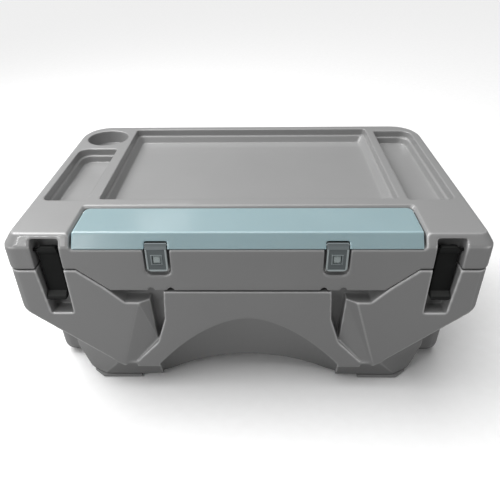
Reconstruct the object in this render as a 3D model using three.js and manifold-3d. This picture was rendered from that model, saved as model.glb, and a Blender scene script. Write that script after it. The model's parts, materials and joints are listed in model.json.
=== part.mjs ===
// Two-part moulded case with a work-top lid.
// The lid carries trays, a cup holder and a long front bin under a flip-up cover with two snap clips.
// Two rubber straps hold the lid down in front, and a long rod hinges it at the back.
// Millimetres. Origin: middle of the footprint, on the floor. +X right, +Y back, +Z up.

import * as THREE from 'three';
import { mergeVertices } from 'three/addons/utils/BufferGeometryUtils.js';
import Module from 'manifold-3d';

const wasm = await Module();
wasm.setup();

// ---------- driving dimensions ----------

const HEIGHT = 365;
const TOP_HALF_WIDTH = 410; // flat top of the lid
const TOP_DEPTH = 525;
const BEVEL_OUT = 14; // the lid's front and side bevel
const BEVEL_DOWN = 20;
const SKIRT_DROP = 65; // lid top to parting line
const APRON_DROP = 112; // lid top to the underside of the front apron
const GAP = 0.3; // between neighbouring pieces
const PARTING_GAP = 3; // between lid and tub

const FOOT_HEIGHT = 9;
const TUB_INSET = 2; // tub side inside lid side
const WALL_SETBACK = 30; // depth of the front pockets and grooves

const TRAY_DEPTH = 30;
const TRAY_STEP = 15; // drop to the ledge inside each tray
const LEDGE = 4;
const CUP_RADIUS = 48;

const COVER_HALF_WIDTH = 302;
const COVER_WALL = 4;
const COVER_DROP = 24;

const CLIP_X = 156;
const CLIP_WIDTH = 37;
const LATCH_X = 348.5;
const LATCH_WIDTH = 36;

const ARC_STEPS = 6;
const LARGE_ARC_STEPS = 14; // for radii over 30
const PIN_STEPS = 20;

// ---------- places that follow from them ----------

const TOP_FRONT = -TOP_DEPTH / 2;
const TOP_BACK = TOP_DEPTH / 2;
const FRONT = TOP_FRONT - BEVEL_OUT;
const BACK = TOP_BACK + 2;
const SIDE = TOP_HALF_WIDTH + BEVEL_OUT - 1;
const TUB_SIDE = SIDE - TUB_INSET;
const SET_BACK = FRONT + WALL_SETBACK;
const BEVEL_FOOT = HEIGHT - BEVEL_DOWN;
const LID_BOTTOM = HEIGHT - SKIRT_DROP;
const APRON_BOTTOM = HEIGHT - APRON_DROP;
const TUB_TOP = LID_BOTTOM - PARTING_GAP;
const APRON_TOP = HEIGHT - COVER_DROP - 1;
const TRAY_FLOOR = HEIGHT - TRAY_DEPTH;
const LID_CEILING = TRAY_FLOOR - 6;

// Lower edge of the lid seen from the front, right half: outer end, start of slope, apron corner.
const SLOPE_TOP_X = 302;
const SLOPE_FOOT_X = 247;

// Wings on the tub front, right-hand corner points (x, z).
const WING_TIP = [248, 63];
const WING_OUTER = [TUB_SIDE, 213];
const WING_SHOULDER = [225, 225];
const WING_INNER = [199, 225];

// Tub underneath.
const REAR_BODY_FRONT = FRONT + 100;
const REAR_DRAFT = 7;
const BAND_TOP = 70; // top of the sloping band under the front
const BAND_FOOT = 18;
const KEEL_FRONT = SET_BACK - 2;
const KEEL_CORNER = 297; // half width of the keel's front at the band's foot
const KEEL_SHOULDER = 345; // half width behind the angled corner, 52 above the floor
const TUNNEL_HALF = 182;
const TUNNEL_RISE = 51;
const SCOOP_HALF = 176;
const SCOOP_TOP = 191;
const SCOOP_DEPTH = 48;
const CAVITY_FLOOR = 75;

// Front bin and its cover.
const APRON_WALL = 16;
const BIN_BOX_BACK = -150;
const BIN = { x0: -292, x1: 292, y0: FRONT + APRON_WALL, y1: -180 };
const BIN_FLOOR = 266;
const POCKET = { x0: -305, x1: 305, y0: FRONT - 2, y1: -164.5 };
const COVER_BACK = -170.5;
const RIDGE_Y = TOP_FRONT + 5;
const COVER_PIN = { y: -176.5, z: 357, r: 2.5 };
const CLIP_PIN = { y: -267.5, z: 344.5, r: 1.8 };
const CLIP_POCKET_DEPTH = 9;

// Draw latches.
const LATCH_PIN = { y: -259.5, z: 331, r: 3 };
const LATCH_POCKET = { half: 24.5, top: 356, bottom: 201 };

// Hinge at the back.
const HINGE = { y: BACK + 4, z: 299, rod: 4, knuckle: 8 };
const TUB_KNUCKLES = [-270, 0, 270];
const LID_KNUCKLES = [-229, -41, 41, 229];
const KNUCKLE_HALF = 20;

const SIDES = [['left', -1], ['right', 1]];

// ---------- shape helpers ----------

// Any closed geometry as a manifold solid.
function solid(geometry) {
  const bare = geometry.index ? geometry.toNonIndexed() : geometry.clone();
  bare.deleteAttribute('normal');
  bare.deleteAttribute('uv');
  const merged = mergeVertices(bare, 1e-4);
  return new wasm.Manifold(new wasm.Mesh({
    numProp: 3,
    vertProperties: merged.attributes.position.array,
    triVerts: new Uint32Array(merged.index.array),
  }));
}

function geometryOf(body) {
  const mesh = body.getMesh();
  const geometry = new THREE.BufferGeometry();
  geometry.setAttribute('position', new THREE.BufferAttribute(mesh.vertProperties, 3));
  geometry.setIndex(new THREE.BufferAttribute(mesh.triVerts, 1));
  geometry.computeVertexNormals();
  return geometry;
}

const union = (bodies) => bodies.reduce((sum, body) => sum.add(body));
const cut = (body, tools) => tools.reduce((rest, tool) => rest.subtract(tool), body);

function block(x0, x1, y0, y1, z0, z1) {
  const box = new THREE.BoxGeometry(Math.abs(x1 - x0), y1 - y0, z1 - z0);
  return solid(box.translate((x0 + x1) / 2, (y0 + y1) / 2, (z0 + z1) / 2));
}

function extruded(points, from, to, turn) {
  const shape = new THREE.Shape(points.map(([u, v]) => new THREE.Vector2(u, v)));
  const geometry = new THREE.ExtrudeGeometry(shape, { depth: to - from, bevelEnabled: false });
  return solid(geometry.translate(0, 0, from).applyMatrix4(turn));
}

// Matrices that send (u, v, depth) to the wanted axes.
const TO_XZ = new THREE.Matrix4().set(1, 0, 0, 0, 0, 0, -1, 0, 0, 1, 0, 0, 0, 0, 0, 1);
const TO_YZ = new THREE.Matrix4().set(0, 0, 1, 0, 1, 0, 0, 0, 0, 1, 0, 0, 0, 0, 0, 1);

const prismZ = (points, z0, z1) => extruded(points, z0, z1, new THREE.Matrix4());
const prismY = (points, y0, y1) => extruded(points, -y1, -y0, TO_XZ);
const prismX = (points, x0, x1) => extruded(points, Math.min(x0, x1), Math.max(x0, x1), TO_YZ);

function rod(radius, length, steps = PIN_STEPS) {
  return new THREE.CylinderGeometry(radius, radius, length, steps);
}

// Cylinders along X, Y and Z.
function rodX(r, x0, x1, y, z, steps) {
  const geometry = rod(r, Math.abs(x1 - x0), steps).rotateZ(Math.PI / 2);
  return solid(geometry.translate((x0 + x1) / 2, y, z));
}
function rodY(r, y0, y1, x, z, steps) {
  return solid(rod(r, y1 - y0, steps).translate(x, (y0 + y1) / 2, z));
}
function rodZ(r, z0, z1, x, y, steps) {
  return solid(rod(r, z1 - z0, steps).rotateX(Math.PI / 2).translate(x, y, (z0 + z1) / 2));
}

// Points of a quarter arc, anticlockwise, starting at the angle given in quarter turns.
function quarterArc(cx, cy, r, quarter) {
  const steps = r > 30 ? LARGE_ARC_STEPS : ARC_STEPS;
  return Array.from({ length: steps + 1 }, (_, i) => {
    const angle = (quarter + i / steps) * (Math.PI / 2);
    return [cx + r * Math.cos(angle), cy + r * Math.sin(angle)];
  });
}

// Rounded rectangle, anticlockwise. Radii: front-left, front-right, back-right, back-left.
function roundedBox({ x0, x1, y0, y1 }, [fl, fr, br, bl]) {
  return [
    ...quarterArc(x0 + fl, y0 + fl, fl, 2),
    ...quarterArc(x1 - fr, y0 + fr, fr, 3),
    ...quarterArc(x1 - br, y1 - br, br, 0),
    ...quarterArc(x0 + bl, y1 - bl, bl, 1),
  ];
}

const grow = ({ x0, x1, y0, y1 }, by) => ({ x0: x0 - by, x1: x1 + by, y0: y0 - by, y1: y1 + by });
const lift = (outline, z) => outline.map(([x, y]) => new THREE.Vector3(x, y, z));
const all = (r) => [r, r, r, r];

// Closed solid through rings of equal point count. flat gives each ring point's place in the cap's plane.
function loft(given, flat = (p) => new THREE.Vector2(p.x, p.y)) {
  const clockwise = THREE.ShapeUtils.isClockWise(given[0].map(flat));
  const rings = given.map((ring) => (clockwise ? [...ring].reverse() : ring));
  const count = rings[0].length;
  const index = [];
  for (let level = 0; level < rings.length - 1; level += 1) {
    for (let i = 0; i < count; i += 1) {
      const a = level * count + i;
      const b = level * count + ((i + 1) % count);
      index.push(a, b, b + count, a, b + count, a + count);
    }
  }
  const last = (rings.length - 1) * count;
  THREE.ShapeUtils.triangulateShape(rings[0].map(flat), []).forEach(([a, b, c]) => index.push(c, b, a));
  THREE.ShapeUtils.triangulateShape(rings.at(-1).map(flat), [])
    .forEach(([a, b, c]) => index.push(a + last, b + last, c + last));
  const geometry = new THREE.BufferGeometry();
  const xyz = rings.flat().flatMap((p) => [p.x, p.y, p.z]);
  geometry.setAttribute('position', new THREE.Float32BufferAttribute(xyz, 3));
  geometry.setIndex(index);
  const made = solid(geometry);
  if (made.volume() > 0) return made;
  geometry.index.array.reverse();
  return solid(geometry);
}

// ---------- lid ----------

// Lower edge of the lid from the front, left to right, moved down by drop.
function lidEdge(drop, reach = SIDE + 20) {
  return [
    [-reach, LID_BOTTOM - drop],
    [-SLOPE_TOP_X, LID_BOTTOM - drop],
    [-SLOPE_FOOT_X, APRON_BOTTOM - drop],
    [SLOPE_FOOT_X, APRON_BOTTOM - drop],
    [SLOPE_TOP_X, LID_BOTTOM - drop],
    [reach, LID_BOTTOM - drop],
  ];
}

function lidOutline(z) {
  const high = z > BEVEL_FOOT;
  const half = high ? TOP_HALF_WIDTH : SIDE;
  const box = { x0: -half, x1: half, y0: high ? TOP_FRONT : FRONT, y1: high ? TOP_BACK : BACK };
  return lift(roundedBox(box, high ? [16, 16, 66, 66] : [20, 20, 72, 72]), z);
}

// A tray sunk in the top: upper wall, narrow ledge, lower wall with more draft.
function trayCut(box, radii, floorInset) {
  const rings = [
    [grow(box, -floorInset), TRAY_FLOOR],
    [grow(box, -LEDGE - 1.5), HEIGHT - TRAY_STEP - 1],
    [grow(box, -1.5), HEIGHT - TRAY_STEP],
    [grow(box, 0), HEIGHT],
    [grow(box, 0), HEIGHT + 2],
  ];
  return loft(rings.map(([outline, z]) => lift(roundedBox(outline, radii), z)));
}

function topTrays() {
  const main = { x0: -285.5, x1: 285.5, y0: -134.5, y1: 241.5 };
  const left = { x0: -394, x1: -308.5, y0: -138.5, y1: 117.5 };
  const right = { x0: 304, x1: 392, y0: -138.5, y1: 226.5 };
  return [
    trayCut(main, [6, 6, 8, 8], 14),
    trayCut(left, [12, 6, 6, 22], 9),
    trayCut(right, [6, 12, 24, 6], 9),
    cupCut(),
  ];
}

function cupCut() {
  const ring = (r, z) => Array.from({ length: 56 }, (_, i) => {
    const angle = (i / 56) * 2 * Math.PI;
    return new THREE.Vector3(-347 + r * Math.cos(angle), 188.5 + r * Math.sin(angle), z);
  });
  return loft([ring(CUP_RADIUS - 4, TRAY_FLOOR), ring(CUP_RADIUS, HEIGHT), ring(CUP_RADIUS, HEIGHT + 2)]);
}

// Room of the bin, narrowed below like the apron. inset shrinks it on every side.
function binSpace(inset, floor, top) {
  const ring = (narrowing, z) => {
    const box = grow(BIN, -inset);
    const narrowed = { ...box, x0: box.x0 + narrowing, x1: box.x1 - narrowing };
    return lift(roundedBox(narrowed, all(12 - inset)), z);
  };
  return loft([ring(44, floor), ring(4, LID_BOTTOM), ring(0, top)]);
}

// Pocket for the cover, with a chamfered mouth, and the deep bin below it.
function binCuts() {
  const radii = [2, 2, 6, 6];
  const mouth = { ...grow(POCKET, 6), y0: POCKET.y0 };
  const chamfer = loft([
    lift(roundedBox(POCKET, radii), HEIGHT - 5),
    lift(roundedBox(mouth, radii), HEIGHT + 1),
  ]);
  const seat = loft([APRON_TOP, HEIGHT + 1].map((z) => lift(roundedBox(POCKET, radii), z)));
  const bin = binSpace(0, BIN_FLOOR, APRON_TOP + 1);
  const hingeRelief = SIDES.map(([, s]) =>
    block(s * CLIP_X - 28, s * CLIP_X + 28, FRONT + 4, FRONT + APRON_WALL + 1, APRON_TOP - 2, APRON_TOP + 1));
  return [chamfer, seat, bin, ...hingeRelief];
}

// Shallow pocket behind each clip, open at the top, with rounded lower corners.
function clipPocketCut(s) {
  const x = s * CLIP_X;
  const half = CLIP_WIDTH / 2 + 4;
  const outline = [
    ...quarterArc(x - half + 13, 299, 13, 2),
    ...quarterArc(x + half - 13, 299, 13, 3),
    [x + half, APRON_TOP + 2],
    [x - half, APRON_TOP + 2],
  ];
  return prismY(outline, FRONT - 2, FRONT + CLIP_POCKET_DEPTH);
}

// Two half-round notches in the apron's lower edge below each clip.
function apronNotches(s) {
  return [-17.5, 17.5].map((dx) => rodY(6, FRONT - 2, FRONT + 12, s * 155 + dx, APRON_BOTTOM, 16));
}

// Pocket for a latch, through lid and tub; its outer wall leans in towards the bottom.
function latchPocketCut(s) {
  const { half, top, bottom } = LATCH_POCKET;
  const outline = [[-half, bottom], [half - 8, bottom], [half, LID_BOTTOM], [half, top], [-half, top]];
  return prismY(outline.map(([dx, z]) => [s * (LATCH_X + dx), z]), FRONT - 5, SET_BACK);
}

function knuckles(centres, webLow, webHigh) {
  return union(centres.flatMap((x) => [
    rodX(HINGE.knuckle, x - KNUCKLE_HALF, x + KNUCKLE_HALF, HINGE.y, HINGE.z, 24),
    block(x - KNUCKLE_HALF, x + KNUCKLE_HALF, BACK - 6, HINGE.y + 3, webLow, webHigh),
  ]));
}

function knuckleReliefs(centres) {
  const half = KNUCKLE_HALF + 1;
  return centres.map((x) => rodX(HINGE.knuckle + 1, x - half, x + half, HINGE.y, HINGE.z, 24));
}

// Room at each end of the rod for its cap.
function capReliefs() {
  return SIDES.map(([, s]) => rodX(HINGE.knuckle, s * 290, s * 301.5, HINGE.y, HINGE.z, 24));
}

const hingeBore = () => rodX(HINGE.rod + 0.3, -320, 320, HINGE.y, HINGE.z);

// Six posts inside the lid take the screws of the inner panel.
const PANEL_POSTS = [-300, 0, 300].flatMap((x) => [[x, -110], [x, 215]]);
const PANEL_TOP = LID_BOTTOM + 5;

function lidHollow() {
  const box = { x0: -408, x1: 408, y0: -140, y1: 250 };
  const space = loft([LID_BOTTOM - 1, LID_CEILING].map((z) => lift(roundedBox(box, [10, 10, 60, 60]), z)));
  const posts = PANEL_POSTS.map(([x, y]) => rodZ(9, PANEL_TOP + GAP, LID_CEILING + 1, x, y));
  return cut(space, posts);
}

function lidShell() {
  const blank = loft([lidOutline(APRON_BOTTOM), lidOutline(BEVEL_FOOT), lidOutline(HEIGHT)]);
  const below = block(-SIDE - 5, SIDE + 5, FRONT - 5, BACK + 20, APRON_BOTTOM - 5, LID_BOTTOM);
  const binBox = prismY([...lidEdge(0, SLOPE_TOP_X + 4), [SLOPE_TOP_X + 4, HEIGHT],
    [-SLOPE_TOP_X - 4, HEIGHT]], FRONT - 6, BIN_BOX_BACK);
  let lid = cut(blank, [below.subtract(binBox), lidHollow(), ...topTrays(), ...binCuts()]);
  lid = cut(lid.add(knuckles(LID_KNUCKLES, LID_BOTTOM, LID_BOTTOM + 14)), [
    ...knuckleReliefs(TUB_KNUCKLES),
    ...capReliefs(),
    hingeBore(),
    ...PANEL_POSTS.map(([x, y]) => rodZ(2, LID_BOTTOM, LID_CEILING - 4, x, y, 12)),
  ]);
  SIDES.forEach(([, s]) => {
    lid = cut(lid, [
      clipPocketCut(s),
      ...apronNotches(s),
      latchPocketCut(s),
      rodX(LATCH_PIN.r + GAP, s * LATCH_X - 33, s * LATCH_X + 33, LATCH_PIN.y, LATCH_PIN.z),
      rodX(COVER_PIN.r + GAP, s * 300, s * 314, COVER_PIN.y, COVER_PIN.z),
    ]);
  });
  return lid;
}

function lidInnerPanel() {
  const box = { x0: -407.5, x1: 407.5, y0: -139.5, y1: 249.5 };
  const outline = roundedBox(box, [10, 10, 60, 60]);
  const holes = PANEL_POSTS.map(([x, y]) => rodZ(2.3, LID_BOTTOM, PANEL_TOP + 1, x, y, 12));
  return cut(prismZ(outline, LID_BOTTOM + 0.8, PANEL_TOP), holes);
}

// Screw with a low head, axis along Z, head below.
function screwUp(x, y, headZ, shankTop, shank, head) {
  return union([rodZ(head, headZ, headZ + 1.5, x, y, 16), rodZ(shank, headZ + 1, shankTop, x, y, 12)]);
}

// Sealing strip glued under the lid: a flat U behind, and a front run that follows the apron.
function lidSeal() {
  const [low, high] = [2.7, 0.4];
  const inner = { x0: -393, x1: 393, y0: -170, y1: 242 };
  const outer = grow(inner, 9);
  const ringAt = (box, z) => lift(roundedBox(box, [8, 8, 60, 60]), z);
  const flat = loft([ringAt(outer, LID_BOTTOM - low), ringAt(outer, LID_BOTTOM - high)]);
  const hole = loft([ringAt(inner, LID_BOTTOM - 5), ringAt(inner, LID_BOTTOM + 1)]);
  const openFront = block(-SIDE, SIDE, FRONT, -150, 0, HEIGHT);
  const frontY = [SET_BACK + 3, SET_BACK + 12];
  const rails = SIDES.map(([, s]) =>
    block(s * 393, s * 402, frontY[0], -149, LID_BOTTOM - low, LID_BOTTOM - high));
  const strip = prismY([...lidEdge(low, 402), ...lidEdge(high, 402).reverse()], ...frontY);
  return union([cut(flat, [hole, openFront]), ...rails, strip]);
}

function binLiner() {
  return binSpace(1.2, BIN_FLOOR + GAP, 334).subtract(binSpace(3.7, BIN_FLOOR + 3, 335));
}

// ---------- cover and clips ----------

// Cover profile (y, z): flat top, ridge, and a leaf down the front bevel.
function coverProfile() {
  const foot = HEIGHT - COVER_DROP;
  return [
    [COVER_BACK, HEIGHT - 0.5],
    [RIDGE_Y, HEIGHT],
    [FRONT, foot],
    [FRONT + COVER_WALL + 1, foot],
    [RIDGE_Y + 2, HEIGHT - COVER_WALL],
    [COVER_BACK, HEIGHT - COVER_WALL - 0.5],
  ];
}

function coverEndWall(s) {
  const lower = [
    [COVER_BACK, HEIGHT - 2],
    [RIDGE_Y, HEIGHT - 2],
    [FRONT + 3, HEIGHT - COVER_DROP + 2],
    [FRONT + 10, HEIGHT - COVER_DROP + 2],
    [RIDGE_Y + 8, HEIGHT - 13],
    [COVER_BACK - 12, HEIGHT - 13],
    [COVER_BACK, HEIGHT - 9],
  ];
  return prismX(lower, s * (COVER_HALF_WIDTH - COVER_WALL), s * COVER_HALF_WIDTH);
}

function clipBosses(s) {
  const half = CLIP_WIDTH / 2 + 0.8;
  return [-1, 1].map((end) => {
    const from = s * CLIP_X + end * half;
    return rodX(4.3, from, from + end * 6, CLIP_PIN.y, CLIP_PIN.z);
  });
}

function clipNotch(s) {
  const half = CLIP_WIDTH / 2 + 0.8;
  const foot = HEIGHT - COVER_DROP;
  return block(s * CLIP_X - half, s * CLIP_X + half, FRONT - 2, RIDGE_Y - 3, foot - 2, foot + 11);
}

function backCornerClip(s) {
  const x = s * COVER_HALF_WIDTH;
  return prismZ([[x + s, COVER_BACK + 1], [x - s * 7, COVER_BACK + 1], [x + s, COVER_BACK - 9]],
    HEIGHT - 4.2, HEIGHT + 5);
}

function binCover() {
  const plate = prismX(coverProfile(), -COVER_HALF_WIDTH, COVER_HALF_WIDTH);
  const parts = SIDES.flatMap(([, s]) => [coverEndWall(s), ...clipBosses(s)]);
  const cuts = SIDES.flatMap(([, s]) => [
    clipNotch(s),
    backCornerClip(s),
    rodX(CLIP_PIN.r + GAP, s * CLIP_X - 30, s * CLIP_X + 30, CLIP_PIN.y, CLIP_PIN.z, 12),
    rodX(COVER_PIN.r + GAP, s * 290, s * 310, COVER_PIN.y, COVER_PIN.z),
  ]);
  return cut(union([plate, ...parts]), cuts);
}

// Snap clip: a leaf that follows the bevel, then hangs flat over its striker.
function clip(s) {
  const x = s * CLIP_X;
  const half = CLIP_WIDTH / 2;
  const outer = FRONT - 0.7;
  const inner = FRONT + 4;
  const foot = 296;
  const profile = [
    [FRONT + 5.8, 349],
    [outer, 340.5],
    [outer, foot],
    [inner, foot],
    [inner, 338],
    [FRONT + 8, 341.5],
    [FRONT + 9.5, 347],
  ];
  const barrel = rodX(3.6, x - half, x + half, CLIP_PIN.y, CLIP_PIN.z);
  const front = [
    ...quarterArc(x - half + 7, foot + 7, 7, 2),
    ...quarterArc(x + half - 7, foot + 7, 7, 3),
    [x + half, HEIGHT],
    [x - half, HEIGHT],
  ];
  const leaf = prismX(profile, x - half, x + half).intersect(prismY(front, FRONT - 5, FRONT + 20));
  return cut(leaf.add(barrel), [
    rodX(CLIP_PIN.r + GAP, x - 30, x + 30, CLIP_PIN.y, CLIP_PIN.z, 12),
    block(x - 7.5, x + 7.5, FRONT - 2, inner + 1, 312, 328),
  ]);
}

function clipStriker(s) {
  const x = s * CLIP_X;
  const floor = FRONT + CLIP_POCKET_DEPTH;
  const profile = [[floor, 313.2], [floor, 326.8], [floor - 6, 326.8], [floor - 8, 324.5], [floor - 8, 313.2]];
  return prismX(profile, x - 6.3, x + 6.3);
}

// ---------- rubber latches ----------

function latch(s) {
  const x = s * LATCH_X;
  const half = LATCH_WIDTH / 2;
  const strapFront = LATCH_PIN.y - 4;
  const strapBack = LATCH_PIN.y + 4;
  const profile = [
    [strapBack, LATCH_PIN.z],
    [strapFront, LATCH_PIN.z],
    [strapFront, 244],
    [strapFront - 10, 238],
    [strapFront - 12.5, 234],
    [strapFront - 9, 229],
    [strapBack - 3, 232],
    [strapBack, 240],
  ];
  const barrel = rodX(8, x - half, x + half, LATCH_PIN.y, LATCH_PIN.z, 24);
  const front = [
    ...quarterArc(x - half + 7, 229 + 6, 7, 2),
    ...quarterArc(x + half - 7, 229 + 6, 7, 3),
    ...quarterArc(x + half - 9, 330, 9, 0),
    ...quarterArc(x - half + 9, 330, 9, 1),
  ];
  const strap = prismX(profile, x - half, x + half).add(barrel);
  const shaped = strap.intersect(prismY(front, FRONT - 20, SET_BACK));
  return shaped.subtract(rodX(LATCH_PIN.r + GAP, x - 30, x + 30, LATCH_PIN.y, LATCH_PIN.z));
}

const KEEPER_SCREWS = [[-8, 235], [8, 235]];

function latchKeeper(s) {
  const x = s * LATCH_X;
  const wall = SET_BACK - GAP;
  const profile = [
    [wall, 229],
    [wall, 262],
    [wall - 5, 262],
    [wall - 6.5, 258],
    [wall - 6.5, 253],
    [wall - 3, 250],
    [wall - 3, 229],
  ];
  const holes = KEEPER_SCREWS.map(([dx, z]) => rodY(2.3, wall - 10, wall + 5, x + dx, z, 12));
  return cut(prismX(profile, x - 13, x + 13), holes);
}

function keeperScrew(x, z) {
  const face = SET_BACK - GAP - 3 - GAP;
  return union([rodY(3.8, face - 2, face, x, z, 16), rodY(2, face - 1, SET_BACK + 14, x, z, 12)]);
}

// ---------- tub ----------

function tubPlan(y0) {
  return { x0: -TUB_SIDE, x1: TUB_SIDE, y0, y1: BACK };
}

// Rear body: full width, slight draft, rounded lower edge.
function tubRearBody() {
  const rings = [[12, FOOT_HEIGHT], [5, FOOT_HEIGHT + 2], [1.5, FOOT_HEIGHT + 7], [0, FOOT_HEIGHT + 14]];
  const at = (inset, z, draft) => {
    const plan = grow({ ...tubPlan(REAR_BODY_FRONT) }, -inset);
    const box = { ...plan, x0: plan.x0 + draft, x1: plan.x1 - draft };
    return lift(roundedBox(box, [24, 24, 70, 70]), z);
  };
  const lower = rings.map(([inset, z]) => at(inset, z, REAR_DRAFT));
  return loft([...lower, at(0, WING_OUTER[1] + 1, 0)]);
}

// Keel: narrower base under the front, with angled corners in plan and sides that lean in downwards.
const keelCornerX = (z) => KEEL_CORNER - 0.65 * (z - BAND_FOOT);
const keelShoulderX = (z) => Math.min(352, KEEL_SHOULDER + 0.29 * (z - 52));

// Right half of the keel's plan at a height: front corner, shoulder, then back along the side.
function keelPlan(z, cornerX, frontY, inset = 0) {
  const shoulder = keelShoulderX(z) - inset;
  return [
    [cornerX - inset, frontY + inset],
    [shoulder, KEEL_FRONT + 19],
    [shoulder + 26, REAR_BODY_FRONT + 4],
    [shoulder + 26, -120],
  ];
}

function tubKeel() {
  const ring = (z, inset) => {
    const right = keelPlan(z, keelCornerX(Math.min(z, BAND_FOOT)), KEEL_FRONT, inset);
    return lift([...right.map(([x, y]) => [-x, y]).reverse(), ...right], z);
  };
  const base = loft([ring(FOOT_HEIGHT, 5), ring(FOOT_HEIGHT + 3, 2), ring(BAND_FOOT, 0)]);
  const upper = loft([ring(BAND_FOOT, 3), ring(76, 3), ring(WING_OUTER[1], 3)]);
  return union([base, upper, ...SIDES.map(([, s]) => keelCorner(s))]);
}

// Angled corner of the keel, leaning forward as it rises to the underside of the wing.
function keelCorner(s) {
  const top = 130;
  const lean = (FRONT + 1 - KEEL_FRONT) / (BAND_TOP - BAND_FOOT);
  const ring = (z) => {
    const front = KEEL_FRONT + lean * (z - BAND_FOOT);
    const plan = [[200, -120], [200, front], ...keelPlan(z, keelCornerX(z), front)];
    return lift(plan.map(([x, y]) => [s * x, y]), z);
  };
  const inner = s * WING_TIP[0];
  const outer = s * (KEEL_SHOULDER + 60);
  const bound = block(Math.min(inner, outer), Math.max(inner, outer), FRONT + 1, -119, 0, top);
  return loft([ring(BAND_FOOT), ring(76), ring(top)]).intersect(bound);
}

function tubUpperBody() {
  const outline = roundedBox(tubPlan(FRONT), [18, 18, 70, 70]);
  const whole = prismZ(outline, WING_TIP[1], TUB_TOP);
  const rear = whole.intersect(block(-SIDE, SIDE, SET_BACK, BACK, WING_OUTER[1] - 1, TUB_TOP));
  const wings = SIDES.map(([, s]) => {
    const face = [WING_TIP, WING_OUTER, [SIDE + 5, WING_OUTER[1]], [SIDE + 5, TUB_TOP + 9],
      [SLOPE_TOP_X, TUB_TOP + 9], WING_SHOULDER, WING_INNER].map(([x, z]) => [s * x, z]);
    return whole.intersect(prismY(face, FRONT - 1, REAR_BODY_FRONT + 4));
  });
  return union([rear, ...wings, ...SIDES.map(([, s]) => wingFacet(s))]);
}

// Facet on the inner edge of a wing: it falls back towards the middle of the tub.
function wingFacet(s) {
  const corners = [
    [WING_INNER[0] + 1, WING_INNER[1], 0],
    [WING_TIP[0], WING_TIP[1], 0],
    [222, 74, 5],
    [176, 127, 12],
    [181, WING_INNER[1], 12],
  ];
  const ring = (back) => corners.map(([x, z, y]) =>
    new THREE.Vector3(s * x, back ? SET_BACK + 1 : FRONT + y, z));
  return loft([ring(false), ring(true)], (p) => new THREE.Vector2(p.x, p.z));
}

// Middle panel of the front, above the scoop.
function frontPanel() {
  const right = [[222, 74], [174, 127], [156, 184], [152, APRON_BOTTOM - 4]];
  const left = right.map(([x, z]) => [-x, z]).reverse();
  return prismY([...right, ...left, [-222, 60], [222, 60]], FRONT + 1, SET_BACK + 1);
}

// Sloping band under the front, from the panel's foot back to the base.
function footBand() {
  const profile = [
    [FRONT + 1, BAND_TOP + 4],
    [FRONT + 1, BAND_TOP],
    [KEEL_FRONT, BAND_FOOT],
    [KEEL_FRONT + 2, FOOT_HEIGHT + 3],
    [KEEL_FRONT + 6, FOOT_HEIGHT],
    [KEEL_FRONT + 40, FOOT_HEIGHT],
    [KEEL_FRONT + 40, BAND_TOP + 4],
  ];
  return prismX(profile, -WING_TIP[0] - 1, WING_TIP[0] + 1);
}

// Scoop in the front that runs into an arched tunnel under the whole tub.
function scoopAndTunnel() {
  const steps = 36;
  const arch = (half, y, rise) => {
    const ring = Array.from({ length: steps + 1 }, (_, i) => {
      const t = 1 - (2 * i) / steps;
      return new THREE.Vector3(half * t, y, rise(t));
    });
    return [...ring, new THREE.Vector3(-half, y, -5), new THREE.Vector3(half, y, -5)];
  };
  const scoopRise = (t) => SCOOP_TOP - (SCOOP_TOP - 71) * Math.abs(t) ** 1.8;
  const tunnelRise = (t) => TUNNEL_RISE * (1 - t * t);
  const flat = (p) => new THREE.Vector2(p.x, p.z);
  const mouth = arch(SCOOP_HALF, FRONT, scoopRise);
  const throat = arch(TUNNEL_HALF, FRONT + SCOOP_DEPTH, tunnelRise);
  const shift = (ring, dy) => ring.map((p) => new THREE.Vector3(p.x, p.y + dy, p.z));
  return loft([shift(mouth, -2), mouth, throat, shift(throat, TOP_DEPTH + 20)], flat);
}

function tubCavity() {
  const rear = { x0: -384, x1: 384, y0: -160, y1: 236 };
  const front = { x0: -332, x1: 332, y0: -205, y1: -140 };
  return [[rear, 34], [front, 24]].map(([box, r]) => loft([
    lift(roundedBox(grow(box, -8), all(r)), CAVITY_FLOOR),
    lift(roundedBox(box, all(r)), TUB_TOP + 5),
  ]));
}

function tubBody() {
  const outer = union([tubUpperBody(), tubRearBody(), tubKeel(), frontPanel(), footBand()]);
  const rim = lidEdge(PARTING_GAP);
  const aboveRim = prismY([...rim, [SIDE + 20, HEIGHT], [-SIDE - 20, HEIGHT]], FRONT - 5, -140);
  const withHinge = cut(outer, [aboveRim]).add(knuckles(TUB_KNUCKLES, HINGE.z - 16, TUB_TOP));
  return cut(withHinge, [
    scoopAndTunnel(),
    ...tubCavity(),
    ...knuckleReliefs(LID_KNUCKLES),
    ...capReliefs(),
    hingeBore(),
    ...SIDES.map(([, s]) => latchPocketCut(s)),
    ...SIDES.flatMap(([, s]) => KEEPER_SCREWS.map(([dx, z]) =>
      rodY(2.3, SET_BACK - 1, SET_BACK + 15, s * LATCH_X + dx, z, 12))),
    ...FEET.map((foot) => rodZ(2.3, FOOT_HEIGHT - 1, FOOT_HEIGHT + 15, foot.x, footScrewY(foot), 12)),
  ]);
}

// ---------- feet ----------

const FEET = SIDES.flatMap(([side, s]) => [
  { name: `front_${side}`, s, x: s * 270, y0: KEEL_FRONT + 1 },
  { name: `rear_${side}`, s, x: s * 270, y0: BACK - 74 },
]);
const FOOT_DEPTH = 48;
const footScrewY = ({ y0 }) => y0 + FOOT_DEPTH / 2;

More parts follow.
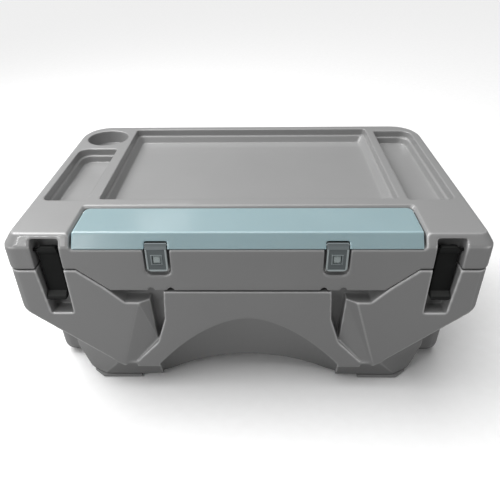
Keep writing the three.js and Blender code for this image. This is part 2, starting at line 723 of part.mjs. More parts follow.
function footPad(foot) {
  const { s, x, y0 } = foot;
  const outline = (by) => {
    const [inner, outer] = [226 + by, 329 - by];
    const [near, far] = [y0 + by, y0 + FOOT_DEPTH - by];
    const right = [[inner, near], [outer - 22, near], [outer, near + 18], [outer, far], [inner, far]];
    return right.map(([px, py]) => [s * px, py]);
  };
  const pad = loft([lift(outline(2), 0), lift(outline(0), 3), lift(outline(0), FOOT_HEIGHT - GAP)]);
  const y = footScrewY(foot);
  return cut(pad, [rodZ(5, -1, 4.5, x, y, 16), rodZ(2.3, 4, FOOT_HEIGHT + 1, x, y, 12)]);
}

// ---------- materials and assembly ----------

const plastic = (color, roughness = 0.45) =>
  new THREE.MeshStandardMaterial({ color, roughness, metalness: 0, flatShading: true });
const metal = new THREE.MeshStandardMaterial({ color: 0xb5b7ba, roughness: 0.35, metalness: 1 });
const shellGrey = plastic(0x858585);
const panelGrey = plastic(0x777777, 0.55);
const coverBlue = plastic(0xa6c4cb, 0.3);
const clipBlue = plastic(0x8fa5a8, 0.3);
const rubberBlack = plastic(0x1c1d1c, 0.75);

const assembly = new THREE.Group();

function place(name, body, material) {
  const mesh = new THREE.Mesh(geometryOf(body), material);
  mesh.name = name;
  assembly.add(mesh);
}

place('tub_body', tubBody(), shellGrey);
place('lid_shell', lidShell(), shellGrey);
place('lid_inner_panel', lidInnerPanel(), panelGrey);
place('lid_seal', lidSeal(), rubberBlack);
place('bin_liner', binLiner(), panelGrey);
place('bin_cover', binCover(), coverBlue);
place('hinge_rod', rodX(HINGE.rod, -298, 298, HINGE.y, HINGE.z), metal);

SIDES.forEach(([side, s]) => {
  const latchAt = s * LATCH_X;
  const cap = rodX(6.5, s * 290.5, s * 300, HINGE.y, HINGE.z);
  place(`hinge_cap_${side}`, cap.subtract(rodX(HINGE.rod + GAP, s * 290, s * 298.5, HINGE.y, HINGE.z)),
    rubberBlack);
  place(`cover_pin_${side}`, rodX(COVER_PIN.r, s * 297, s * 313.5, COVER_PIN.y, COVER_PIN.z), metal);
  place(`clip_${side}`, clip(s), clipBlue);
  place(`clip_striker_${side}`, clipStriker(s), clipBlue);
  place(`clip_pin_${side}`,
    rodX(CLIP_PIN.r, s * CLIP_X - 25, s * CLIP_X + 25, CLIP_PIN.y, CLIP_PIN.z, 12), metal);
  place(`latch_${side}`, latch(s), rubberBlack);
  place(`latch_pin_${side}`,
    rodX(LATCH_PIN.r, latchAt - 32.5, latchAt + 32.5, LATCH_PIN.y, LATCH_PIN.z), metal);
  place(`latch_keeper_${side}`, latchKeeper(s), metal);
  KEEPER_SCREWS.forEach(([dx, z], i) => {
    place(`keeper_screw_${side}_${i + 1}`, keeperScrew(latchAt + dx, z), metal);
  });
});

PANEL_POSTS.forEach(([x, y], i) => {
  place(`panel_screw_${i + 1}`, screwUp(x, y, LID_BOTTOM - 0.9, LID_CEILING - 6, 1.7, 4.5), metal);
});

FEET.forEach((foot) => {
  place(`foot_${foot.name}`, footPad(foot), shellGrey);
  place(`foot_screw_${foot.name}`, screwUp(foot.x, footScrewY(foot), 2.7, FOOT_HEIGHT + 14, 2, 4.5), metal);
});

export default assembly;
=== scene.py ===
import json
import math

import bmesh
import bpy
import numpy as np
from mathutils import Matrix, Vector
from mathutils.kdtree import KDTree

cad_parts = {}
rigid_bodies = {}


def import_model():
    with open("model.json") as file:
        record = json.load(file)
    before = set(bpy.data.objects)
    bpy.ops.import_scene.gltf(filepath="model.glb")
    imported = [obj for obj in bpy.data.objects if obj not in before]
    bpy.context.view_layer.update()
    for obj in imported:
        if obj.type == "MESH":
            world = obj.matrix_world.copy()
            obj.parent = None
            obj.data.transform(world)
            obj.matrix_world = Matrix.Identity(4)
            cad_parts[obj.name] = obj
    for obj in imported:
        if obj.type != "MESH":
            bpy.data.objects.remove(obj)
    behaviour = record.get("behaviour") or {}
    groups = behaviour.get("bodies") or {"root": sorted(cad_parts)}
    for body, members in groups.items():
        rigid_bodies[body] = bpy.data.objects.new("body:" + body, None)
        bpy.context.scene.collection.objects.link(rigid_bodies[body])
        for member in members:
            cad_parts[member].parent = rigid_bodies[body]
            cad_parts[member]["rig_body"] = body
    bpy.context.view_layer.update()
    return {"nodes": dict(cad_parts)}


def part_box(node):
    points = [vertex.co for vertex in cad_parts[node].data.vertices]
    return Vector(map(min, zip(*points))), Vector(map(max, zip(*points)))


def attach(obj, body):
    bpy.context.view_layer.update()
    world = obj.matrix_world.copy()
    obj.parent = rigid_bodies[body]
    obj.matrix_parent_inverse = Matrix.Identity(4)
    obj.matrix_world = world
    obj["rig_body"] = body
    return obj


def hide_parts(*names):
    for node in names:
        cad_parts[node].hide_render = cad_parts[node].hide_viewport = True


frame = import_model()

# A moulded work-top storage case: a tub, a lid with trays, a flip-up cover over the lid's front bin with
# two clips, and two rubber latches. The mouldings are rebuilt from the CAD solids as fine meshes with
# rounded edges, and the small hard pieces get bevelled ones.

NODES = frame["nodes"]
SIDES = (("left", -1), ("right", 1))

# ---------- sizes, in metres, worked out from the frame ----------

LID_LOW, LID_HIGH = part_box("lid_shell")
FRONT = LID_LOW.y
LID_SIDE_BAND = 0.024  # how far in from its outline the lid's edges are rounded as outer edges
LID_FRONT_BAND = 0.018
LID_BACK_BAND = 0.020
BAND_BLEND = 0.006  # width over which the inner edges' rounding turns into the outer edges'
LID_UPPER = LID_HIGH.z - 0.035  # height above which the outer edges are rounded most
UPPER_BLEND = 0.01
INNER_ROUNDING = 0.22  # share of the lid's full rounding at its inner edges
OUTER_GAIN = 0.28  # what outer edges add to that
UPPER_GAIN = 0.5  # and what the upper ones add again

BASE_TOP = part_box("tub_body")[0].z + 0.011  # height below which the tub keeps its edges tight
BASE_ROUNDING = 0.3
TUB_ROUNDING = 0.9

CLIP_LOW, CLIP_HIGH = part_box("clip_right")
CLIP_X = (CLIP_LOW.x + CLIP_HIGH.x) / 2
CLIP_FACE = CLIP_LOW.y + 0.0011  # in front of this is the face that sinks
CLIP_PALE = CLIP_LOW.y + 0.003  # in front of this the rim and the frame get a painted highlight
CLIP_RIM = 0.0028
CLIP_SINK = 0.0013
CLIP_STEP = 0.0006  # width of the slope between the rim or frame and the sunk face
CLIP_FRAME = 0.0098  # half width of the frame round the window
CLIP_SHOULDER = CLIP_HIGH.z - 0.0085  # top of the clip's upright face
CLIP_BEND = CLIP_HIGH.z - 0.0035  # height above which the clip's top reaches up into its notch
CLIP_STRETCH = 0.5  # how far it reaches, as a share of its height above the bend
FRAME_HIGHLIGHT = 0.2  # how pale the painted highlight on the window's frame is, as a share of the rim's

SCOOP_HALF_WIDTH = 0.026
SCOOP_HALF_HEIGHT = 0.012
SCOOP_DEPTH = 0.0035
SCOOP_Z = CLIP_LOW.z - 0.002
APRON_FACE = FRONT + 0.012  # in front of this is the face of the apron that the scoops press in

LATCH_LOW, LATCH_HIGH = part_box("latch_right")
PULL_FOOT = LATCH_LOW.z + 0.0085  # heights between which each strap's end slopes out into a pull
PULL_TOP = LATCH_LOW.z + 0.0155
KNUCKLE = LATCH_HIGH.z - 0.0022  # height above which the strap wraps over its pin
TONE_STEP = 0.0008  # height over which the painted highlight on the rubber fades

FINE_BEVEL = 0.0004
SOFT_BEVEL = 0.0008
LINER_BEVEL = 0.001
PANEL_BEVEL = 0.0012
FOOT_BEVEL = 0.0025

VOXEL_SCALE = 1.0  # scales the voxel size of every rebuilt piece
WELD = 0.00002  # corners closer than this are one corner
FLAT = math.radians(0.1)  # faces that bend less than this are one face
CREASE = math.radians(32)  # edges that bend more than this are bevelled on small pieces
MOULDED_EDGE = math.radians(25)  # edges that bend more than this are drawn straight before rounding

# ---------- mesh helpers ----------


def link(name, mesh, material):
    """A new object that holds mesh, finished with one material."""
    mesh.materials.clear()
    mesh.materials.append(material)
    mesh.name = name
    obj = bpy.data.objects.new(name, mesh)
    bpy.context.scene.collection.objects.link(obj)
    return obj


def stand_for(obj, node):
    """obj, smoothly shaded, takes the place of a CAD node and rides where that node rides."""
    normals = obj.modifiers.new("Normals", "WEIGHTED_NORMAL")
    normals.keep_sharp = True
    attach(obj, NODES[node]["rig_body"])
    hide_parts(node)


def welded(node):
    """The CAD node's mesh with its corners joined and its flat faces whole."""
    bm = bmesh.new()
    bm.from_mesh(NODES[node].data)
    bmesh.ops.remove_doubles(bm, verts=bm.verts, dist=WELD)
    bmesh.ops.dissolve_limit(bm, angle_limit=FLAT, verts=bm.verts, edges=bm.edges)
    return bm


def bent_edges(bm, angle):
    """The edges between two faces that bend by more than angle."""
    return [edge for edge in bm.edges if len(edge.link_faces) == 2 and edge.calc_face_angle(0) > angle]


def crisp(node, material, width, segments=2):
    """A bevelled copy of a CAD node, for small hard pieces."""
    bm = welded(node)
    bmesh.ops.bevel(bm, geom=bent_edges(bm, CREASE), offset=width, offset_type="OFFSET",
                    segments=segments, profile=0.5, affect="EDGES", clamp_overlap=True)
    for face in bm.faces:
        face.smooth = True
    mesh = bpy.data.meshes.new(node)
    bm.to_mesh(mesh)
    bm.free()
    stand_for(link(node + "_finished", mesh, material), node)


def evaluated(obj):
    """obj's mesh with its modifiers applied, as a new mesh."""
    graph = bpy.context.evaluated_depsgraph_get()
    return bpy.data.meshes.new_from_object(obj.evaluated_get(graph), depsgraph=graph)


def voxelised(node, voxel):
    """The CAD node's shape rebuilt as even quads, with every point on the CAD surface."""
    bm = welded(node)
    bmesh.ops.triangulate(bm, faces=bm.faces)
    mesh = bpy.data.meshes.new(node)
    bm.to_mesh(mesh)
    bm.free()
    target = bpy.data.objects.new(node + "_target", mesh)
    obj = bpy.data.objects.new(node + "_voxels", mesh)
    for part in (target, obj):
        bpy.context.scene.collection.objects.link(part)
    remesh = obj.modifiers.new("Voxels", "REMESH")
    remesh.mode = "VOXEL"
    remesh.voxel_size = voxel
    remesh.adaptivity = 0
    wrap = obj.modifiers.new("Surface", "SHRINKWRAP")
    wrap.target = target
    wrap.wrap_method = "NEAREST_SURFACEPOINT"
    result = evaluated(obj)
    bpy.data.objects.remove(obj)
    bpy.data.objects.remove(target)
    return result


def points_of(mesh):
    points = np.empty(len(mesh.vertices) * 3)
    mesh.vertices.foreach_get("co", points)
    return points.reshape(-1, 3)


def edges_of(mesh):
    edges = np.empty(len(mesh.edges) * 2, dtype=np.int64)
    mesh.edges.foreach_get("vertices", edges)
    return edges.reshape(-1, 2)


def ramp(amount, width):
    """0 where amount is 0 or less, rising evenly to 1 where it reaches width."""
    return np.clip(amount / width, 0, 1)


def relaxed(points, edges, passes, weight):
    """Values per point, drawn towards their neighbours' values as strongly as weight, 0 to 1, says.

    With the points' own places as values, it rounds every edge.
    """
    a, b = edges[:, 0], edges[:, 1]
    count = np.bincount(edges.ravel(), minlength=len(points)).clip(1)
    moved = points.copy()
    for _ in range(passes):
        step = np.empty_like(moved)
        for axis in range(moved.shape[1]):
            column = moved[:, axis]
            total = np.bincount(a, column[b], len(points)) + np.bincount(b, column[a], len(points))
            step[:, axis] = total / count - column
        moved += 0.5 * weight[:, None] * step
    return moved


def edge_places(node, spacing):
    """A search tree of places along the CAD node's sharp edges."""
    bm = welded(node)
    places = []
    for edge in bent_edges(bm, MOULDED_EDGE):
        a, b = (corner.co for corner in edge.verts)
        steps = max(1, int((b - a).length / spacing))
        places += [a.lerp(b, step / steps) for step in range(steps + 1)]
    bm.free()
    tree = KDTree(len(places))
    for index, place in enumerate(places):
        tree.insert(place, index)
    tree.balance()
    return tree


def aligned(points, edges, node, voxel):
    """Points beside a sharp CAD edge are moved onto it, so that slanted edges come out straight."""
    tree = edge_places(node, voxel / 3)
    bend = np.linalg.norm(relaxed(points, edges, 1, np.ones(len(points))) - points, axis=1)
    moved = points.copy()
    for index in np.nonzero(bend > 0.04 * voxel)[0]:
        place, _, distance = tree.find(points[index])
        if distance < 0.55 * voxel:
            moved[index] = place
    return moved


def note(mesh, name, values):
    """Stores one number per point, from 0 to 1, for a material to read."""
    attribute = mesh.attributes.new(name, "FLOAT", "POINT")
    attribute.data.foreach_set("value", np.clip(values, 0, 1).astype(np.float32))


def note_edges(mesh, edges, drop, radius, edge_highlight):
    """Stores how far outward edges were rounded off, 0 to edge_highlight, for materials that paint a
    highlight there.
    """
    normals = np.empty(len(mesh.vertices) * 3)
    mesh.vertex_normals.foreach_get("vector", normals)
    outward = (drop * normals.reshape(-1, 3)).sum(1, keepdims=True)
    outward = relaxed(outward, edges, 3, np.ones(len(outward)))[:, 0]
    note(mesh, "edge", edge_highlight * ramp(outward, 0.25 * radius))


def softened(node, name, material, voxel, radius, keep,
             weight=None, shape=None, painted_highlight=None, edge_highlight=1):
    """A copy of a CAD node, built from voxels of one size, with edges rounded to about radius.

    keep is the share of its faces that are left. weight(points) scales the rounding, and shape(points)
    adds formed detail. painted_highlight(points), 0 to 1, marks where a highlight is painted as paler
    colour, and edge_highlight, 0 to 1, how pale the painted highlight on its edges is.
    """
    voxel *= VOXEL_SCALE
    passes = max(1, round((radius / voxel) ** 2))
    mesh = voxelised(node, voxel)
    edges = edges_of(mesh)
    points = aligned(points_of(mesh), edges, node, voxel)
    scale = np.ones(len(points)) if weight is None else weight(points)
    if shape is not None:
        points = shape(points)
    rounded = relaxed(points, edges, passes, scale)
    # Edges rounded outward are marked for a painted highlight.
    note_edges(mesh, edges, points - rounded, radius, edge_highlight)
    # Marks where a highlight is painted as a paler colour.
    if painted_highlight is not None:
        note(mesh, "painted_highlight", painted_highlight(points))
    mesh.vertices.foreach_set("co", rounded.ravel())
    mesh.shade_smooth()
    mesh.update()
    obj = link(name, mesh, material)
    fewer = obj.modifiers.new("Fewer", "DECIMATE")
    fewer.ratio = keep
    lighter = evaluated(obj)
    obj.modifiers.clear()
    obj.data = lighter
    lighter.name = name
    lighter.shade_smooth()
    stand_for(obj, node)


# ---------- materials ----------


class Nodes:
    """Short calls for building a node material."""

    def __init__(self, name):
        self.material = bpy.data.materials.new(name)
        self.material.use_nodes = True
        self.tree = self.material.node_tree
        self.tree.nodes.clear()
        output = self.add("ShaderNodeOutputMaterial")
        self.shader = self.add("ShaderNodeBsdfPrincipled")
        self.join(self.shader.outputs["BSDF"], output.inputs["Surface"])
        self.place = self.add("ShaderNodeTexCoord").outputs["Object"]

    def add(self, kind, **settings):
        node = self.tree.nodes.new(kind)
        for key, value in settings.items():
            setattr(node, key, value)
        return node

    def join(self, source, target):
        self.tree.links.new(source, target)

    def value(self, name, amount):
        """Sets a shader input to a number, a colour or another node's output."""
        socket = self.shader.inputs[name]
        if isinstance(amount, bpy.types.NodeSocket):
            self.join(amount, socket)
        else:
            socket.default_value = amount

    def noise(self, scale, detail=3.0, roughness=0.5, stretch=None):
        """Cloudy values round 0.5, fixed in the piece. A larger scale is finer."""
        node = self.add("ShaderNodeTexNoise")
        node.inputs["Scale"].default_value = scale
        node.inputs["Detail"].default_value = detail
        node.inputs["Roughness"].default_value = roughness
        source = self.place
        if stretch:
            mapping = self.add("ShaderNodeMapping")
            mapping.inputs["Scale"].default_value = stretch
            self.join(self.place, mapping.inputs["Vector"])
            source = mapping.outputs["Vector"]
        self.join(source, node.inputs["Vector"])
        return node.outputs["Fac"]

    def between(self, source, low, high, start=0.35, end=0.65):
        """source, from start to end, as a number from low to high."""
        node = self.add("ShaderNodeMapRange")
        for key, amount in (("From Min", start), ("From Max", end), ("To Min", low), ("To Max", high)):
            node.inputs[key].default_value = amount
        self.join(source, node.inputs["Value"])
        return node.outputs["Result"]

    def mix(self, factor, a, b, kind="MIX"):
        """Two colours mixed by a factor."""
        node = self.add("ShaderNodeMix", data_type="RGBA", blend_type=kind)
        for key, amount in (("Factor", factor), ("A", a), ("B", b)):
            socket = next(s for s in node.inputs if s.name == key and s.enabled)
            if isinstance(amount, bpy.types.NodeSocket):
                self.join(amount, socket)
            else:
                socket.default_value = amount
        return next(s for s in node.outputs if s.enabled)

    def mark(self, name):
        """A number that the mesh stores per point: 0 where it has none."""
        return self.add("ShaderNodeAttribute", attribute_name=name).outputs["Fac"]

    def bump(self, *layers):
        """Stacks (height, distance) layers into one normal."""
        normal = None
        for height, distance in layers:
            node = self.add("ShaderNodeBump")
            node.inputs["Distance"].default_value = distance
            node.inputs["Strength"].default_value = 1.0
            self.join(height, node.inputs["Height"])
            if normal is not None:
                self.join(normal, node.inputs["Normal"])
            normal = node.outputs["Normal"]
        self.join(normal, self.shader.inputs["Normal"])


def grey(level):
    return (level, level, level, 1)


def scaled(colour, gain):
    """A colour made lighter or darker, as far as white."""
    return tuple(min(1, c * gain) for c in colour[:3]) + (1,)


PAINTED_SHADE_REACH = 0.035  # how far round a point its surroundings paint shade on it


def moulded(name, colour, spread, roughness, grain, edge_highlight_gain=0.25, scuffing=0.08, painted_highlight=None):
    """Moulded plastic: cloudy colour, fine grain, faint scuffs, painted highlights on edges and painted
    shade in recesses.

    spread is how far the clouds go from the colour, grain the depth of the texture in metres,
    edge_highlight_gain how much paler the painted highlight on edges is, and scuffing the roughness that
    scuffs add. painted_highlight is the colour painted where the mesh's own painted_highlight attribute
    is 1.
    """
    m = Nodes(name)
    light = scaled(colour, 1 + spread)
    dark = scaled(colour, 1 - spread)
    cloudy = m.mix(m.noise(6, 1), dark, light)
    speckled = m.mix(m.between(m.noise(900, 2), 0, 0.12, 0.45, 0.75), cloudy, light)
    # Painted highlight: the mesh marks where this second colour is painted.
    if painted_highlight:
        speckled = m.mix(m.mark("painted_highlight"), speckled, painted_highlight)
    # Painted highlight on edges: where edges were rounded outward the colour is paler.
    pale = scaled(colour, 1 + edge_highlight_gain)
    edge_highlighted = m.mix(m.between(m.mark("edge"), 0, 1, 0.05, 0.6), speckled, pale)
    # Painted shade: the colour is darkened where nearby surfaces hem a point in, as in recesses and
    # gaps.
    shade = m.add("ShaderNodeAmbientOcclusion", samples=6)
    shade.inputs["Distance"].default_value = PAINTED_SHADE_REACH
    painted_shade = m.between(shade.outputs["AO"], 0.85, 1, 0.1, 0.65)
    m.value("Base Color", m.mix(1.0, edge_highlighted, painted_shade, "MULTIPLY"))
    scuffs = m.between(m.noise(30, 6, 0.8, stretch=(1, 7, 1)), 0, scuffing, 0.5, 0.8)
    cloud = m.between(m.noise(11, 1), roughness - 0.05, roughness + 0.05, 0, 1)
    total = m.add("ShaderNodeMath", operation="ADD")
    m.join(cloud, total.inputs[0])
    m.join(scuffs, total.inputs[1])
    m.value("Roughness", total.outputs[0])
    m.bump((m.noise(9, 2), 0.0006), (m.noise(700, 2), grain))
    return m


def shell_plastic():
    m = moulded("shell_plastic", grey(0.27), 0.04, 0.36, grain=0.00003, edge_highlight_gain=1.9)
    m.value("Coat Weight", 0.6)
    m.value("Coat Roughness", 0.06)
    return m.material


def panel_plastic():
    return moulded("panel_plastic", grey(0.2), 0.06, 0.5, grain=0.00012).material


def cover_plastic():
    m = moulded("cover_plastic", (0.27, 0.37, 0.395, 1), 0.05, 0.24, grain=0.00001,
                edge_highlight_gain=0.7, scuffing=0)
    m.value("Coat Weight", 0.2)
    m.value("Coat Roughness", 0.12)
    m.value("Subsurface Weight", 0.25)
    m.value("Subsurface Radius", (0.01, 0.012, 0.014))
    m.value("Subsurface Scale", 0.6)
    return m.material


def clip_plastic():
    # The last colour is the painted highlight on the clip's rim and window frame.
    return moulded("clip_plastic", (0.135, 0.155, 0.16, 1), 0.07, 0.33, grain=0.00002, edge_highlight_gain=2.5,
                   scuffing=0.03, painted_highlight=(0.42, 0.47, 0.47, 1)).material


def button_plastic():
    return moulded("button_plastic", (0.40, 0.455, 0.455, 1), 0.07, 0.33, grain=0.00002, edge_highlight_gain=0.4,
                   scuffing=0.03).material


def black_rubber():
    # The last colour is the painted highlight on the pull's slope and over the pin.
    m = moulded("black_rubber", (0.0055, 0.006, 0.0057, 1), 0.2, 0.66, grain=0.0001, edge_highlight_gain=1.5,
                painted_highlight=(0.03, 0.031, 0.03, 1))
    m.value("Specular IOR Level", 0.28)
    return m.material


def brushed_steel():
    m = Nodes("brushed_steel")
    dark, light = (0.46, 0.47, 0.48, 1), (0.55, 0.56, 0.57, 1)
    m.value("Base Color", m.mix(m.between(m.noise(25), 0, 1), dark, light))
    m.value("Metallic", 1.0)
    m.value("Roughness", m.between(m.noise(160, stretch=(0.1, 1, 1)), 0.28, 0.38))
    m.bump((m.noise(400, stretch=(0.05, 1, 1)), 0.00001))
    return m.material


def blackened_steel():
    m = Nodes("blackened_steel")
    m.value("Base Color", m.mix(m.between(m.noise(90), 0, 1), grey(0.012), grey(0.03)))
    m.value("Metallic", 0.6)
    m.value("Roughness", m.between(m.noise(300), 0.4, 0.6))
    m.bump((m.noise(600), 0.00003))
    return m.material


SHELL = shell_plastic()
PANEL = panel_plastic()
COVER = cover_plastic()
CLIP = clip_plastic()
BUTTON = button_plastic()
RUBBER = black_rubber()
STEEL = brushed_steel()
BLACKENED = blackened_steel()

# ---------- lid and tub ----------


def lid_weight(points):
    """Generous rounding on the outside of the lid, most of all near its top, and less in the trays."""
    x, y, z = points.T
    outside = np.maximum.reduce([
        np.abs(x) - (LID_HIGH.x - LID_SIDE_BAND),
        (FRONT + LID_FRONT_BAND) - y,
        y - (LID_HIGH.y - LID_BACK_BAND),
    ])
    gain = OUTER_GAIN + UPPER_GAIN * ramp(z - LID_UPPER, UPPER_BLEND)
    return INNER_ROUNDING + gain * ramp(outside, BAND_BLEND)


def finger_scoops(points):
    """Shallow dishes in the apron under each clip, where a finger gets behind it."""
    moved = points.copy()
    face = points[:, 1] < APRON_FACE
    for _, side in SIDES:
        across = (points[:, 0] - side * CLIP_X) / SCOOP_HALF_WIDTH
        down = (points[:, 2] - SCOOP_Z) / SCOOP_HALF_HEIGHT
        dish = np.clip(1 - across ** 2 - down ** 2, 0, 1)
        moved[:, 1] += np.where(face, SCOOP_DEPTH * dish, 0)
    return moved


def lid():
    softened("lid_shell", "lid_moulding", SHELL, voxel=0.0017, radius=0.0065, keep=0.22,
             weight=lid_weight, shape=finger_scoops, edge_highlight=0.35)


def tub_weight(points):
    """The edges of the underside stay tighter than the rest."""
    return np.where(points[:, 2] < BASE_TOP, BASE_ROUNDING, TUB_ROUNDING)


def tub():
    softened("tub_body", "tub_moulding", SHELL, voxel=0.0018, radius=0.005, keep=0.2,
             weight=tub_weight, edge_highlight=0.75)


# ---------- cover and clips ----------


def cover():
    softened("bin_cover", "bin_cover_moulding", COVER, voxel=0.0011, radius=0.0045, keep=0.5,
             edge_highlight=0.7)


def within_rim(node, points):
    """0 on the rim of the clip's face and 1 inside it."""
    low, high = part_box(node)
    x, _, z = points.T
    across = (high.x - low.x) / 2 - np.abs(x - (low.x + high.x) / 2)
    return ramp(np.minimum(across, z - low.z) - CLIP_RIM, CLIP_STEP)


def beyond_frame(node, points):
    """0 on the frame round the clip's window and 1 outside it."""
    low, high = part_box(node.replace("clip", "clip_striker"))
    window = (low + high) / 2
    x, _, z = points.T
    return ramp(np.maximum(np.abs(x - window.x), np.abs(z - window.z)) - CLIP_FRAME, CLIP_STEP)


def clip_shaper(node):
    """A function that sinks the clip's face and draws its top up into the notch."""

    def shape(points):
        z = points[:, 2]
        face = (points[:, 1] < CLIP_FACE) & (z < CLIP_SHOULDER)
        moved = points.copy()
        sunk = np.minimum(within_rim(node, points), beyond_frame(node, points))
        moved[:, 1] += np.where(face, CLIP_SINK * sunk, 0)
        moved[:, 2] += CLIP_STRETCH * np.clip(z - CLIP_BEND, 0, None)
        return moved

    return shape


def clip_painted_highlight(node):
    """A function that marks the rim, and slightly the window's frame, for a painted highlight."""

    def painted_highlight(points):
        face = (points[:, 1] < CLIP_PALE) & (points[:, 2] < CLIP_SHOULDER)
        rim = 1 - within_rim(node, points)
        window_frame = FRAME_HIGHLIGHT * (1 - beyond_frame(node, points))
        return np.where(face, np.maximum(rim, window_frame), 0)

    return painted_highlight


def clip(side):
    node = "clip_" + side
    softened(node, "clip_moulding_" + side, CLIP, voxel=0.0005, radius=0.0008, keep=0.4,
             shape=clip_shaper(node), painted_highlight=clip_painted_highlight(node), edge_highlight=0.5)


def clip_striker(side):
    softened("clip_striker_" + side, "clip_striker_block_" + side, BUTTON, voxel=0.0004,
             radius=0.0009, keep=0.5)


# ---------- latches ----------


def latch_painted_highlight(points):
    """Marks where a highlight is painted on the rubber: the pull's upward slope, and over the pin."""
    z = points[:, 2]
    pull = ramp(z - PULL_FOOT, TONE_STEP) * ramp(PULL_TOP - z, TONE_STEP)
    return np.maximum(pull, ramp(z - KNUCKLE, TONE_STEP))


def latch(side):
    softened("latch_" + side, "latch_strap_" + side, RUBBER, voxel=0.0009, radius=0.0026,
             keep=0.4, painted_highlight=latch_painted_highlight)


def latch_keeper(side):
    crisp("latch_keeper_" + side, STEEL, FINE_BEVEL)
    for number in ("1", "2"):
        crisp("keeper_screw_" + side + "_" + number, STEEL, FINE_BEVEL)


# ---------- smaller pieces ----------


def pins(side):
    for name, finish in (("cover_pin_", STEEL), ("clip_pin_", STEEL), ("latch_pin_", BLACKENED)):
        crisp(name + side, finish, FINE_BEVEL)


def feet(side):
    for end in ("front_", "rear_"):
        crisp("foot_" + end + side, SHELL, FOOT_BEVEL, segments=3)
        crisp("foot_screw_" + end + side, STEEL, FINE_BEVEL)


def hinge():
    crisp("hinge_rod", STEEL, SOFT_BEVEL)
    for side, _ in SIDES:
        crisp("hinge_cap_" + side, RUBBER, SOFT_BEVEL)


def inside():
    """The lid's inner panel with its screws, the seal, and the liner of the front bin."""
    crisp("lid_inner_panel", PANEL, PANEL_BEVEL)
    crisp("lid_seal", RUBBER, SOFT_BEVEL)
    crisp("bin_liner", PANEL, LINER_BEVEL)
    for number in range(1, 7):
        crisp("panel_screw_%d" % number, STEEL, FINE_BEVEL)


lid()
tub()
cover()
for side, _ in SIDES:
    for piece in (clip, clip_striker, latch, latch_keeper, pins, feet):
        piece(side)
hinge()
inside()

# ---------- stage ----------

FLOOR_REACH = 14
BACKDROP = 0.95  # brightness of the backdrop that the camera sees
FILL = 0.15  # brightness of the same backdrop as a light
CORNER = (-0.35, -0.27, 0.35)  # the left part of the lid's front edge, where the window is reflected
PANE_GAP = 0.17

VIEW_PLACE = (0.0226, -1.0111, 0.8197)
VIEW_DOWN, VIEW_TURN, VIEW_ROLL = 33.11, -1.30, -0.75  # degrees
LENS, SENSOR = 37.11, 36  # millimetres


def floor():
    """A floor that the camera sees as nearly white, and that throws little light back up."""
    mesh = bpy.data.meshes.new("floor")
    reach = FLOOR_REACH
    corners = [(-reach, -reach, 0), (reach, -reach, 0), (reach, reach, 0), (-reach, reach, 0)]
    mesh.from_pydata(corners, [], [(0, 1, 2, 3)])
    m = Nodes("studio_floor")
    seen = m.mix(m.between(m.noise(40), 0, 1), grey(0.97), grey(0.99))
    m.value("Base Color", m.mix(m.add("ShaderNodeLightPath").outputs["Is Camera Ray"], grey(0.2), seen))
    m.value("Roughness", 0.75)
    link("studio_floor", mesh, m.material)


def softbox(name, place, aim, size, power):
    """A rectangular studio light that faces aim, with its power in watts."""
    data = bpy.data.lights.new(name, "AREA")
    data.shape = "RECTANGLE"
    data.size, data.size_y = size
    data.energy = power
    obj = bpy.data.objects.new(name, data)
    obj.location = place
    obj.rotation_euler = (Vector(aim) - Vector(place)).to_track_quat("-Z", "Y").to_euler()
    bpy.context.scene.collection.objects.link(obj)


def sky(name, towards, spread, strength):
    """A broad, even light from the direction towards, with a spread in degrees."""
    data = bpy.data.lights.new(name, "SUN")
    data.energy = strength
    data.angle = math.radians(spread)
    obj = bpy.data.objects.new(name, data)
    obj.rotation_euler = Vector(towards).to_track_quat("Z", "Y").to_euler()
    bpy.context.scene.collection.objects.link(obj)


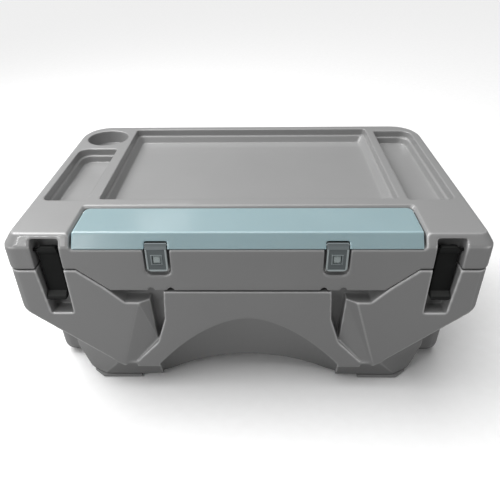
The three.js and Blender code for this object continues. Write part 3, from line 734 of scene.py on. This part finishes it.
def world():
    """Even fill light, seen by the camera as a pale backdrop."""
    scene = bpy.context.scene
    scene.world = bpy.data.worlds.new("studio")
    scene.world.use_nodes = True
    tree = scene.world.node_tree
    background = tree.nodes["Background"]
    background.inputs["Color"].default_value = (1, 1, 1, 1)
    level = tree.nodes.new("ShaderNodeMapRange")
    level.inputs["To Min"].default_value = FILL
    level.inputs["To Max"].default_value = BACKDROP
    tree.links.new(tree.nodes.new("ShaderNodeLightPath").outputs["Is Camera Ray"], level.inputs["Value"])
    tree.links.new(level.outputs["Result"], background.inputs["Strength"])


def camera():
    """The viewpoint: in front, above, and a little off the middle."""
    down, turn, roll = (math.radians(angle) for angle in (VIEW_DOWN, VIEW_TURN, VIEW_ROLL))
    ahead = Vector((math.sin(turn) * math.cos(down), math.cos(turn) * math.cos(down), -math.sin(down)))
    right = Vector((math.cos(turn), -math.sin(turn), 0))
    up = right.cross(ahead)
    across = right * math.cos(roll) + up * math.sin(roll)
    above = up * math.cos(roll) - right * math.sin(roll)
    data = bpy.data.cameras.new("camera")
    data.lens, data.sensor_width = LENS, SENSOR
    obj = bpy.data.objects.new("camera", data)
    place = Matrix((across, above, -ahead)).transposed().to_4x4()
    place.translation = VIEW_PLACE
    obj.matrix_world = place
    bpy.context.scene.collection.objects.link(obj)
    bpy.context.scene.camera = obj


def lights():
    """Broad light from above, and smaller lights that are reflected along the front."""
    sky("soft_sky", (-0.3, 0.1, 1), 70, 2.5)
    softbox("overhead", (-1.1, 0.4, 1.7), (0, 0, 0.3), (1.5, 1.2), 26)
    softbox("window", (-1.25, -1.74, 1.49), CORNER, (0.5, 0.6), 1.8)
    for number in (1, 2, 3):
        place = (-1.13 + PANE_GAP * (number - 2), -1.72, 1.47)
        softbox("pane_%d" % number, place, CORNER, (0.025, 0.8), 1.6)
    softbox("low_left", (-1.2, -1.15, 0.3), (-0.1, -0.25, 0.12), (0.7, 0.5), 4.3)
    softbox("low_right", (1.35, -0.95, 0.3), (0.35, -0.25, 0.1), (0.7, 0.5), 3.2)
    softbox("lamp", (-0.51, 1.5, 1.34), (-0.15, -0.21, 0.36), (0.3, 0.12), 0.35)


floor()
world()
lights()
camera()
bpy.context.scene.view_settings.view_transform = "Standard"
